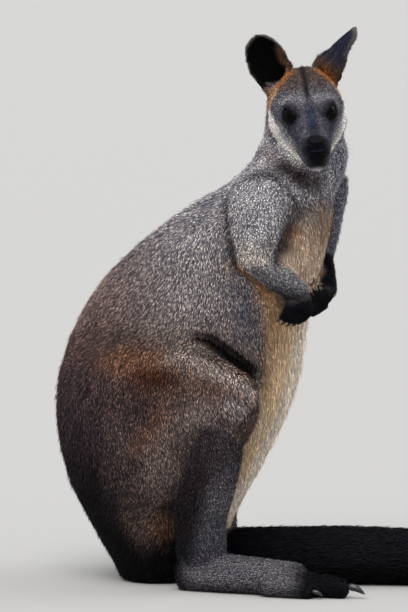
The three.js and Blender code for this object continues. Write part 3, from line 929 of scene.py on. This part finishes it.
class Finish:
    """A material, built up from expressions on its sockets."""

    def __init__(self, name, **constants):
        self.material = bpy.data.materials.new(name)
        self.material.use_nodes = True
        self.tree = self.material.node_tree
        self.shader = self.tree.nodes["Principled BSDF"]
        self.set(**constants)

    def node(self, kind, settings, inputs, output=0):
        made = self.tree.nodes.new(kind)
        for key, value in settings.items():
            setattr(made, key, value)
        for key, value in inputs.items():
            self.feed(made.inputs[key], value)
        return Value(self, made.outputs[output])

    def feed(self, socket, value):
        if isinstance(value, Value):
            self.tree.links.new(value.socket, socket)
        elif isinstance(value, tuple) and len(value) == 3 and socket.type == "RGBA":
            socket.default_value = (*value, 1)
        else:
            socket.default_value = value

    def set(self, **inputs):
        for key, value in inputs.items():
            self.feed(self.shader.inputs[key.replace("_", " ")], value)

    def attribute(self, name, output="Fac"):
        return self.node("ShaderNodeAttribute", {"attribute_name": name}, {}, output)

    def parts(self, vector):
        return [self.node("ShaderNodeSeparateXYZ", {}, {0: vector}, k) for k in range(3)]

    def ease(self, value, low, high):
        settings = {"interpolation_type": "SMOOTHSTEP"}
        inputs = {"Value": value, "From Min": low, "From Max": high}
        return self.node("ShaderNodeMapRange", settings, inputs)

    def mix(self, first, second, share):
        return self.node("ShaderNodeMix", {"data_type": "RGBA"}, {0: share, 6: first, 7: second}, 2)

    def scaled(self, colour, by):
        return self.node("ShaderNodeVectorMath", {"operation": "SCALE"}, {0: colour, "Scale": by})

    def tinted(self, colour, by):
        return self.node("ShaderNodeVectorMath", {"operation": "MULTIPLY"}, {0: colour, 1: by})

    def place(self):
        return self.node("ShaderNodeTexCoord", {}, {}, "Object")

    def grain(self, scale, detail=2.0):
        inputs = {"Vector": self.place(), "Scale": scale, "Detail": detail}
        return self.node("ShaderNodeTexNoise", {}, inputs)

    def bump(self, height, strength, distance):
        inputs = {"Height": height, "Strength": strength, "Distance": distance}
        return self.node("ShaderNodeBump", {}, inputs)


def srgb(red, green, blue):
    return tuple(float(c) for c in linear((red, green, blue)))


UNDER_FUR_SHADE = 0.55  # the hide under the hair shows this share of the coat's brightness, as painted shade between the hairs


def hide_finish():
    finish = Finish("hide under fur", Roughness=0.85, Specular_IOR_Level=0.1)
    speckle = finish.ease(finish.grain(900.0, 3.0), 0.3, 0.7)
    level = UNDER_FUR_SHADE * (1 + finish.attribute("grizzle") * (speckle - 0.5))
    colour = finish.scaled(finish.attribute("pelt", "Vector"), level)
    finish.set(Base_Color=colour, Normal=finish.bump(finish.grain(1400.0), 0.3, 0.0006))
    return finish.material


def add_vectors(mesh, name, values):
    layer = mesh.attributes.new(name, "FLOAT_VECTOR", "POINT")
    layer.data.foreach_set("vector", values.astype(np.float32).ravel())


def add_values(mesh, name, values):
    layer = mesh.attributes.new(name, "FLOAT", "POINT")
    layer.data.foreach_set("value", values.astype(np.float32).ravel())


add_vectors(hide.data, "pelt", pelt)
add_values(hide.data, "grizzle", grizzle)
hide.data.materials.clear()
hide.data.materials.append(hide_finish())
hide.data.shade_smooth()
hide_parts(*FLESH)
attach(hide, "root")

# ---------------------------------------------------------------- the coat
# Each tuft is a thin pointed blade of a few hairs. It stands in the hide, rises through the depth of
# the fur, and lies along the body. The tufts are dealt out into several pieces that lie together.
TUFTS = 460_000
COAT_PIECES = 8
LENGTHS = (0.7, 1.25)  # the hairs of one place differ by these shares in length, width and lift
WIDTHS = (0.7, 1.3)
LIFTS = (0.62, 1.06)
STRAY, STRAY_LIFT = 0.08, 0.3  # this share of the hairs stands out so much above the rest
TURN = 0.12  # how far hairs lie across each other
ROLL = 0.45  # how far they are rolled about their length, in radians
BOW = 0.3  # how far they bend outwards, as a share of their lift
ROOT_WIDTH = 0.7  # of the width half way up
SUNK = 0.5 * MM  # the roots stand this deep in the hide
LOWEST = 0.2 * MM  # no tip comes nearer to the floor
LOCK_RISE = 0.06
LOCK_TONE = 0.05
UV_PATCH = 0.003  # the share of the hide's map that one tuft covers

# The hide is unwrapped, and each tuft takes its colours from the place that it grows from.
for other in bpy.context.selected_objects:
    other.select_set(False)
bpy.context.view_layer.objects.active = hide
hide.select_set(True)
hide.data.uv_layers.new(name="OFBake")
bpy.ops.object.mode_set(mode="EDIT")
bpy.ops.mesh.select_all(action="SELECT")
bpy.ops.uv.smart_project(angle_limit=math.radians(66), island_margin=0.002)
bpy.ops.object.mode_set(mode="OBJECT")

mesh = hide.data
mesh.calc_loop_triangles()
count = len(mesh.loop_triangles)
corner = np.empty(3 * count, np.int32)
mesh.loop_triangles.foreach_get("vertices", corner)
corner = corner.reshape(-1, 3)
loops = np.empty(3 * count, np.int32)
mesh.loop_triangles.foreach_get("loops", loops)
flat = np.empty(2 * len(mesh.loops), np.float32)
mesh.uv_layers["OFBake"].data.foreach_get("uv", flat)
corner_uv = flat.reshape(-1, 2)[loops.reshape(-1, 3)]

# How long, wide, deep and close the hair stands at each vertex of the hide, in millimetres at first.
# It is longer on the belly's fringe, the nape and before the ears, and short on the muzzle, within the
# ears and in the fold.
FRINGE_LONGER, ROOT_LONGER, NAPE_LONGER, EAR_SHORTER = 7, 8, 3, 1.2
ROOT_DEEPER, NAPE_DEEPER, RIM_DEEPER = 7, 2, 1.2
MUZZLE_HAIR = (0.62, 0.5)  # the hair there loses these shares of its length and depth
FOLD_HAIR = ((0.8, 9 * MM), (0.55, 8 * MM))  # and these here, over these widths
INNER_THINNER = 0.45
points = points_of(mesh)
normals = normals_of(mesh)
muzzle = smooth(-20, 45, face[:, 1]) * head
nape = head * hind * smooth(-12, -38, face[:, 1]) * (1 - share_of("ear")) * smooth(-60, -30, face[:, 2])
fringe = fringe_share(names, points)
(short_fold, short_width), (flat_fold, flat_width) = FOLD_HAIR
length = web.spread(per_part(names, LENGTH), 6) * (1 - MUZZLE_HAIR[0] * muzzle)
length += FRINGE_LONGER * fringe + ROOT_LONGER * ear_root + NAPE_LONGER * nape
length *= 1 - short_fold * hump(deep_fold, short_width) * body
length = (length - EAR_SHORTER * inner_ear) * MM
width = web.spread(per_part(names, WIDTH), 6) * MM
depth = web.spread(per_part(names, DEPTH), 10) * (1 - MUZZLE_HAIR[1] * muzzle)
depth = depth + FRINGE_DEPTH / MM * fringe + ROOT_DEEPER * ear_root + NAPE_DEEPER * nape
depth = (depth + RIM_DEEPER * rim) * MM
depth *= (1 + LOCK_RISE * mild_locks) * (1 - flat_fold * hump(deep_fold, flat_width) * body)
crowd = web.spread(per_part(names, CROWD), 6) * (1 - INNER_THINNER * inner_ear)

# None grows under the soles, on the rims of the lids or under the nose pad.
SOLE_BARE = (1.2 * MM, 0.4 * MM)  # up from the floor
NOSE_BARE = (1.2 * MM, 0.6 * MM)  # out from the pad
BARE_END = EYE_RADIUS + 4 * MM
bare = smooth(*SOLE_BARE, points[:, 2])
for side in SIDES:
    near = eye_distance(points, side) < BARE_END
    bare = np.maximum(bare, smooth(*LID_EDGE, lid_margin(points, side)[0]) * near)
for i in np.nonzero(face[:, 1] > 40)[0]:
    at, out, _, far = nose_tree.find_nearest(Vector(points[i]))
    above = (Vector(points[i]) - at).dot(out)
    bare[i] = max(bare[i], float(smooth(*NOSE_BARE, far if above > 0 else 0.0)))
crowd *= 1 - bare

# The roots are spread over the triangles of the hide, more of them where the hair is close.
span = points[corner]
area = np.linalg.norm(np.cross(span[:, 1] - span[:, 0], span[:, 2] - span[:, 0]), axis=1) / 2
weight = np.cumsum(area * crowd[corner].mean(1))
picked = (np.arange(TUFTS) + rng.random(TUFTS)) / TUFTS * weight[-1]
triangle = np.minimum(np.searchsorted(weight, picked), count - 1)
u, v = rng.random((2, TUFTS))
over = u + v > 1
u[over], v[over] = 1 - u[over], 1 - v[over]
blend = np.stack([1 - u - v, u, v], 1)
roots = corner[triangle]


def at_roots(values):
    """Values of the hide's vertices, blended at the root of each tuft."""
    picked_values = values[roots]
    if picked_values.ndim == 3:
        return (picked_values * blend[:, :, None]).sum(1)
    return (picked_values * blend).sum(1)


root = at_roots(points)
normal = unit(at_roots(normals))
way = laid(at_roots(lie), normal)
way = unit(way + rng.normal(0, TURN, TUFTS)[:, None] * np.cross(normal, way))
hair_length = at_roots(length) * rng.uniform(*LENGTHS, TUFTS)
hair_width = at_roots(width) * rng.uniform(*WIDTHS, TUFTS)
lift = at_roots(depth) * (rng.uniform(*LIFTS, TUFTS) + STRAY_LIFT * (rng.random(TUFTS) < STRAY))
hide_tree = BVHTree.FromPolygons([Vector(p) for p in points], corner.tolist())


def on_hide(places):
    """The nearest place on the hide to each place, and the hide's normal there."""
    hits = [hide_tree.find_nearest(place) for place in places.tolist()]
    return np.array([hit[0] for hit in hits]), np.array([hit[1] for hit in hits])


# A blade has two corners at its root, two half way up, and its tip.
under, under_normal = on_hide(root + way * hair_length[:, None] * 0.95)
tip = under + unit(under_normal + normal) * lift[:, None]
middles = (root + tip) / 2 + normal * lift[:, None] * BOW
roll = rng.normal(0, ROLL, TUFTS)[:, None]
across = unit(np.cross(normal, tip - root))
half = unit(across * np.cos(roll) + normal * np.sin(roll)) * hair_width[:, None] / 2
sunk = root - normal * SUNK
foot_half = half * ROOT_WIDTH
blade = np.stack([sunk - foot_half, sunk + foot_half, middles - half, middles + half, tip], 1)
blade[:, :, 2] = np.maximum(blade[:, :, 2], LOWEST)

# Each corner knows how far along the hair it is, the tone of the hair, and how high its band lies.
hair = np.zeros((TUFTS, 5, 3))
hair[:, :, 0] = (0, 0, 0.5, 0.5, 1)
hair[:, :, 1] = np.clip(rng.random(TUFTS) + LOCK_TONE * at_roots(locks), 0, 1)[:, None]
hair[:, :, 2] = rng.random(TUFTS)[:, None]
root_pelt = at_roots(pelt)
root_grizzle = at_roots(grizzle)
root_uv = (corner_uv[triangle] * blend[:, :, None]).sum(1)
PATCH = UV_PATCH * np.array([(-0.5, -0.5), (0.5, -0.5), (-0.5, 0.1), (0.5, 0.1), (0, 0.5)])
blade_uv = np.clip(root_uv[:, None, :] + PATCH, 0, 1)

# Each hair is dark with a pale band part of the way up, as shares of the colour of the coat there.
DARK_HAIR = (0.48, 0.51, 0.58)
PALE_BAND = (2.9, 2.72, 2.48)
BAND = 0.09  # half the length of the band, as a share of the hair
BAND_EDGE = 0.04
BAND_FROM, BAND_SPREAD = 0.42, 0.5  # the lowest bands lie here, and the highest so much further up


def coat_finish():
    finish = Finish("fur", Roughness=0.7, Specular_IOR_Level=0.1)
    along, tone, kind = finish.parts(finish.attribute("hair", "Vector"))
    place = along - BAND_FROM - BAND_SPREAD * kind
    band = finish.ease(place, -BAND - BAND_EDGE, -BAND + BAND_EDGE)
    band = band * finish.ease(place, BAND + BAND_EDGE, BAND - BAND_EDGE)
    pale = finish.ease(tone, 0.25, 0.6) * band
    tint = finish.mix((1.0, 1.0, 1.0), finish.mix(DARK_HAIR, PALE_BAND, pale), finish.attribute("grizzle"))
    shade = (0.6 + 0.4 * finish.ease(along, 0.0, 0.45)) * (0.85 + 0.3 * tone)
    colour = finish.tinted(finish.attribute("pelt", "Vector"), tint)
    finish.set(Base_Color=finish.scaled(colour, shade))
    return finish.material


fur = coat_finish()
BLADE_CORNERS = np.array([0, 1, 3, 2, 2, 3, 4])  # a face of four corners, then one of three


def coat_piece(name, chosen):
    count = len(chosen)
    made = bpy.data.meshes.new(name)
    made.vertices.add(5 * count)
    made.vertices.foreach_set("co", blade[chosen].astype(np.float32).ravel())
    start = 5 * np.arange(count)[:, None]
    made.loops.add(7 * count)
    made.loops.foreach_set("vertex_index", (start + BLADE_CORNERS).astype(np.int32).ravel())
    made.polygons.add(2 * count)
    first = 7 * np.arange(count)[:, None] + np.array([0, 4])
    made.polygons.foreach_set("loop_start", first.astype(np.int32).ravel())
    made.update(calc_edges=True)
    add_vectors(made, "hair", hair[chosen])
    add_vectors(made, "pelt", np.repeat(root_pelt[chosen], 5, axis=0))
    add_values(made, "grizzle", np.repeat(root_grizzle[chosen], 5))
    layer = made.uv_layers.new(name="OFBake")
    layer.data.foreach_set("uv", blade_uv[chosen][:, BLADE_CORNERS].astype(np.float32).ravel())
    made.materials.append(fur)
    made.shade_smooth()
    piece = add_object(name, made)
    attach(piece, "root")


for n in range(COAT_PIECES):
    coat_piece(f"coat_{n + 1}", np.arange(n, TUFTS, COAT_PIECES))

# ---------------------------------------------------------------- the whiskers
# Stiff dark hairs that stand out from the pads beside the nose and droop. Each is a thin tapered rod
# whose root stands on the hide.
WHISKERS = 11  # on each side, in three rows
WHISKER_RINGS = 6
WHISKER_RADIUS = 0.16 * MM
WHISKER_TAPER = 0.85
DROOP = 0.35  # of its length, at the tip
SPOKES = [(math.cos(a), math.sin(a)) for a in (0, 2 * math.pi / 3, 4 * math.pi / 3)]


def add_whisker(form, start, out, reach):
    """A thin tapered rod of three sides from its root outwards, drooping to its tip."""
    across = out.cross(head_up).normalized()
    rise = out.cross(across).normalized()
    rings = []
    for i in range(WHISKER_RINGS):
        t = i / (WHISKER_RINGS - 1)
        centre = start + out.normalized() * reach * t - Vector((0, 0, 1)) * reach * DROOP * t * t
        thick = WHISKER_RADIUS * (1 - WHISKER_TAPER * t)
        rings.append([form.verts.new(centre + (across * c + rise * s) * thick) for c, s in SPOKES])
    for lower, upper in zip(rings[:-1], rings[1:]):
        for k in range(3):
            form.faces.new([lower[k], lower[(k + 1) % 3], upper[(k + 1) % 3], upper[k]])
    form.faces.new(rings[0])
    form.faces.new(rings[-1])


form = bmesh.new()
for sign in (-1, 1):
    for n in range(WHISKERS):
        row, step = n % 3, n // 3
        at = on_head(sign * 12, 50 - 4 * step - row, -8 - 3.5 * row)
        out = head_side * sign + head_ahead * (0.25 - 0.22 * step) - head_up * (0.1 + 0.16 * row)
        reach = (22 + 5 * step + rng.uniform(-3, 4)) * MM
        add_whisker(form, hide_tree.find_nearest(at)[0], out, reach)
bmesh.ops.recalc_face_normals(form, faces=form.faces)
mesh = mesh_of(form, "whiskers")
mesh.materials.append(Finish("whisker", Base_Color=srgb(34, 31, 36), Roughness=0.4).material)
mesh.shade_smooth()
piece = add_object("whiskers", mesh)
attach(piece, "root")

# ---------------------------------------------------------------- the eyes
# Large dark eyes with a clear wet front. Each is one ball that swells a little in front, and the lids
# of the hide lie over its edge.
PUPIL, IRIS = 0.42, 0.86  # how far round the eyeball from its front each ends, in radians
CORNEA = 0.6 * MM  # it swells by this over the front
CORNEA_EDGE = 0.6  # as a cosine


def eye_finish():
    finish = Finish("eye", Roughness=0.05, Specular_IOR_Level=0.06)
    turned = finish.attribute("turned")
    colour = finish.mix(srgb(2, 2, 2), srgb(9, 6, 5), finish.ease(turned, PUPIL, PUPIL + 0.12))
    colour = finish.mix(colour, srgb(3, 3, 3), finish.ease(turned, IRIS - 0.1, IRIS))
    finish.set(Base_Color=colour)
    return finish.material


eye_material = eye_finish()
for side in SIDES:
    form = bmesh.new()
    bmesh.ops.create_uvsphere(form, u_segments=40, v_segments=28, radius=EYE_RADIUS)
    gaze, slit, rise = gaze_axes(side)
    turn = Matrix((slit, rise, gaze)).transposed()
    if turn.determinant() < 0:
        turn = Matrix((-slit, rise, gaze)).transposed()
    turned = []
    for vertex in form.verts:
        facing = vertex.co.z / EYE_RADIUS
        turned.append(math.acos(max(-1.0, min(1.0, facing))))
        swell = CORNEA * max(0.0, (facing - CORNEA_EDGE) / (1 - CORNEA_EDGE))
        vertex.co += vertex.co.normalized() * swell
        vertex.co = turn @ vertex.co + eye_middle(side)
    mesh = mesh_of(form, "eyeball")
    add_values(mesh, "turned", np.array(turned))
    mesh.materials.append(eye_material)
    mesh.shade_smooth()
    piece = add_object("eyeball_" + side, mesh)
    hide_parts("eye_" + side)
    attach(piece, "root")

# ---------------------------------------------------------------- the nose
# A bare black leathery pad with two nostrils like commas and a groove between them. It is its own
# solid, made finer and rounded, with the nostrils pressed in, and the hide passes behind it.
NOSTRIL = [(4.2, 62, -4.5), (7.2, 61, -3.0), (9.6, 57, -1.0)]
NOSTRIL_DEPTH = 2.6
NOSTRIL_WIDTH = 1.7
GROOVE_DEPTH = 0.9
GROOVE_WIDTH = 0.7
LOWER_EDGE = (-12.5, 2.2)  # the edge of the pad with a painted bluish reflection of the sky: how high it lies, and its width


def nose_finish():
    finish = Finish("nose leather", Roughness=0.6, Specular_IOR_Level=0.06)
    cells = finish.node("ShaderNodeTexVoronoi", {}, {"Vector": finish.place(), "Scale": 850.0}, "Distance")
    colour = finish.mix(srgb(3, 3, 5), srgb(9, 10, 15), finish.ease(cells, 0.1, 0.8))
    # a painted bluish reflection along the lower edge of the pad
    colour = finish.mix(colour, srgb(34, 42, 66), finish.attribute("lit"))
    # painted shade within the nostrils and the groove
    colour = finish.scaled(colour, 1 - finish.attribute("hollow"))
    finish.set(Base_Color=colour, Normal=finish.bump(cells, 0.5, 0.0004))
    return finish.material


form = merged_copy("nose")
bmesh.ops.subdivide_edges(form, edges=form.edges, cuts=5, smooth=0.6, use_grid_fill=True)
axes = {"use_axis_x": True, "use_axis_y": True, "use_axis_z": True}
for _ in range(3):
    bmesh.ops.smooth_vert(form, verts=form.verts, factor=0.5, **axes)
form.normal_update()
mesh = mesh_of(form, "nose_pad")
pad = points_of(mesh)
pad_face = head_places(pad)
hollow = hump(line_distance(folded(pad_face), NOSTRIL), NOSTRIL_WIDTH)
groove = hump(pad_face[:, 0], GROOVE_WIDTH) * smooth(-2, -5, pad_face[:, 2])
sink = NOSTRIL_DEPTH * hollow + GROOVE_DEPTH * groove
set_points(mesh, pad - sink[:, None] * MM * normals_of(mesh))
# how much painted shade lies within the nostrils and the groove
add_values(mesh, "hollow", np.clip(0.95 * hollow + 0.5 * groove, 0, 1))
edge_at, edge_width = LOWER_EDGE
# where the painted reflection lies
add_values(mesh, "lit", 0.8 * hump(pad_face[:, 2] - edge_at, edge_width))
mesh.materials.clear()
mesh.materials.append(nose_finish())
mesh.shade_smooth()
piece = add_object("nose_pad", mesh)
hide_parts("nose")
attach(piece, "root")

# ---------------------------------------------------------------- the claws
# Curved claws of dark horn at the ends of the toes and fingers. Each is its own solid, rounded, with
# its root in the hide.


def horn_finish():
    finish = Finish("claw horn", Roughness=0.35)
    colour = finish.mix(srgb(18, 15, 17), srgb(44, 39, 39), finish.ease(finish.grain(500.0), 0.4, 0.8))
    finish.set(Base_Color=colour)
    return finish.material


horn = horn_finish()
for name in sorted(n for n in nodes if n.startswith("claw_")):
    mesh = mesh_of(merged_copy(name), name)
    mesh.materials.clear()
    mesh.materials.append(horn)
    mesh.shade_smooth()
    piece = add_object("horn_" + name, mesh)
    rounded = piece.modifiers.new("rounded", "SUBSURF")
    rounded.levels = 2
    rounded.render_levels = 2
    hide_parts(name)
    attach(piece, "root")

# ---------------------------------------------------------------- floor, light and camera
# A plain pale floor that runs on past the edges of the view, under soft light from above. The camera
# stands to the animal's right and a little ahead of it.
FLOOR_RADIUS = 90.0
AMBIENT = 0.8
SUN = 3.6

form = bmesh.new()
bmesh.ops.create_circle(form, cap_ends=True, radius=FLOOR_RADIUS, segments=96)
mesh = mesh_of(form, "floor")
mesh.materials.append(Finish("floor", Base_Color=srgb(157, 156, 154), Roughness=0.9).material)
floor = add_object("floor", mesh)

world = bpy.data.worlds.new("studio")
world.use_nodes = True
world.node_tree.nodes["Background"].inputs["Color"].default_value = (*srgb(248, 250, 255), 1)
world.node_tree.nodes["Background"].inputs["Strength"].default_value = AMBIENT
scene.world = world
scene.view_settings.view_transform = "Standard"

AIM = Vector((0.0002, 0.2052, 0.312))
AZIMUTH = math.radians(-70)
ELEVATION = math.radians(4.5)
CAMERA_DISTANCE = 5.0
FRAME_HEIGHT = 0.6916


def towards(azimuth, elevation):
    level = Vector((math.sin(azimuth), -math.cos(azimuth), 0)) * math.cos(elevation)
    return level + Vector((0, 0, math.sin(elevation)))


def aimed(item, place, at):
    item.location = place
    item.rotation_euler = (at - place).to_track_quat("-Z", "Y").to_euler()


def sunlight(name, azimuth, elevation, strength, softness, tint):
    lamp = bpy.data.lights.new(name, "SUN")
    lamp.energy = strength
    lamp.angle = math.radians(softness)
    lamp.color = tint
    item = add_object(name, lamp)
    aimed(item, AIM + towards(math.radians(azimuth), math.radians(elevation)) * 3, AIM)


sunlight("key", -95, 58, SUN, 50, (1.0, 0.985, 0.96))
sunlight("rim", 30, 38, 0.3 * SUN, 40, (0.93, 0.96, 1.0))

camera = bpy.data.cameras.new("camera")
camera.sensor_fit = "VERTICAL"
camera.clip_end = 4 * FLOOR_RADIUS
camera.angle = 2 * math.atan(FRAME_HEIGHT / 2 / CAMERA_DISTANCE)
viewpoint = add_object("camera", camera)
aimed(viewpoint, AIM + towards(AZIMUTH, ELEVATION) * CAMERA_DISTANCE, AIM)
scene.camera = viewpoint
